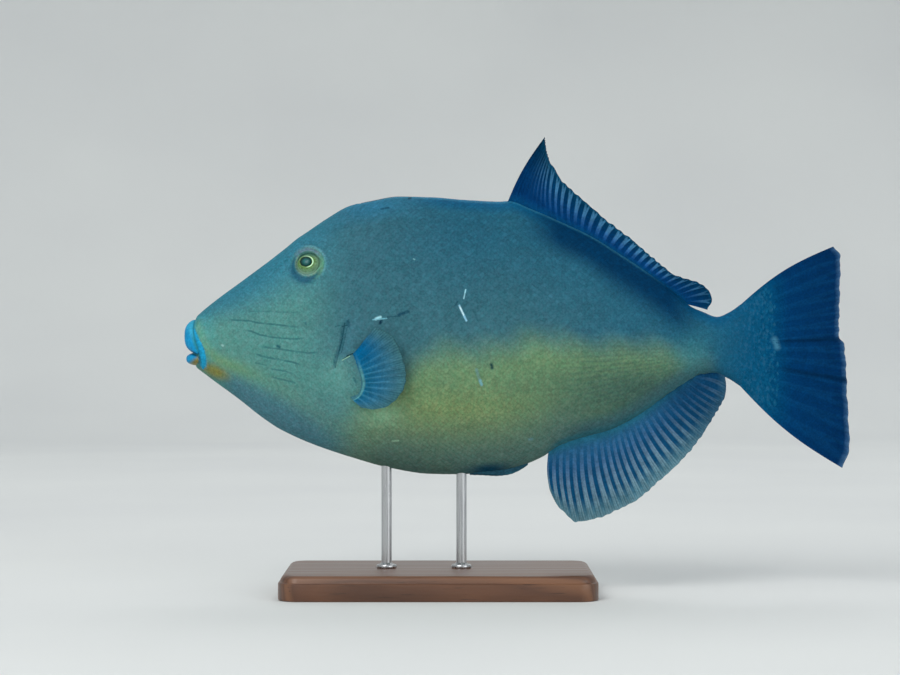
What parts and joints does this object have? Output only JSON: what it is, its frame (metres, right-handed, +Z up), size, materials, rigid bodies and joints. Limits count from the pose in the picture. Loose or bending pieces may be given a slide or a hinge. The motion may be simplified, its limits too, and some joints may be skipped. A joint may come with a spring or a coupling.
{
  "type": "orangeside triggerfish, still life-size model on a display stand",
  "caption": "Life-size still model of an orangeside triggerfish, deep flat body with raised soft fins, held by two rods over a flat wooden base.",
  "frame": {"origin": "centre of the bounding box at the underside of the stand's base", "axes": "+Z up, the fish faces -X, its mid-plane is Y = 0 and its left side looks along -Y"},
  "size_m": [0.32, 0.084, 0.2198],
  "materials": {
    "head_skin": "satin, painted skin",
    "trunk_skin": "satin, painted skin",
    "spine_skin": "satin",
    "flap_skin": "satin",
    "peduncle_skin": "satin, painted skin",
    "lip_blue": "satin",
    "eye": "wet gloss",
    "fin_membrane": "satin",
    "tail_fin_membrane": "satin",
    "pectoral_membrane": "satin",
    "stand_wood": "oiled walnut",
    "stand_steel": "brushed"
  },
  "bodies": {
    "root": {"head": "head_skin", "upper_lip": "lip_blue", "lower_lip": "lip_blue", "eye_left": "eye", "eye_right": "eye", "trunk": "trunk_skin", "first_dorsal_fin": "spine_skin", "pelvic_flap": "flap_skin", "tail_peduncle": "peduncle_skin", "dorsal_fin": "fin_membrane", "anal_fin": "fin_membrane", "tail_fin": "tail_fin_membrane", "pectoral_fin_left": "pectoral_membrane", "pectoral_fin_right": "pectoral_membrane", "stand_base": "stand_wood", "stand_rod_1": "stand_steel", "stand_rod_2": "stand_steel"}
  },
  "joints": []
}
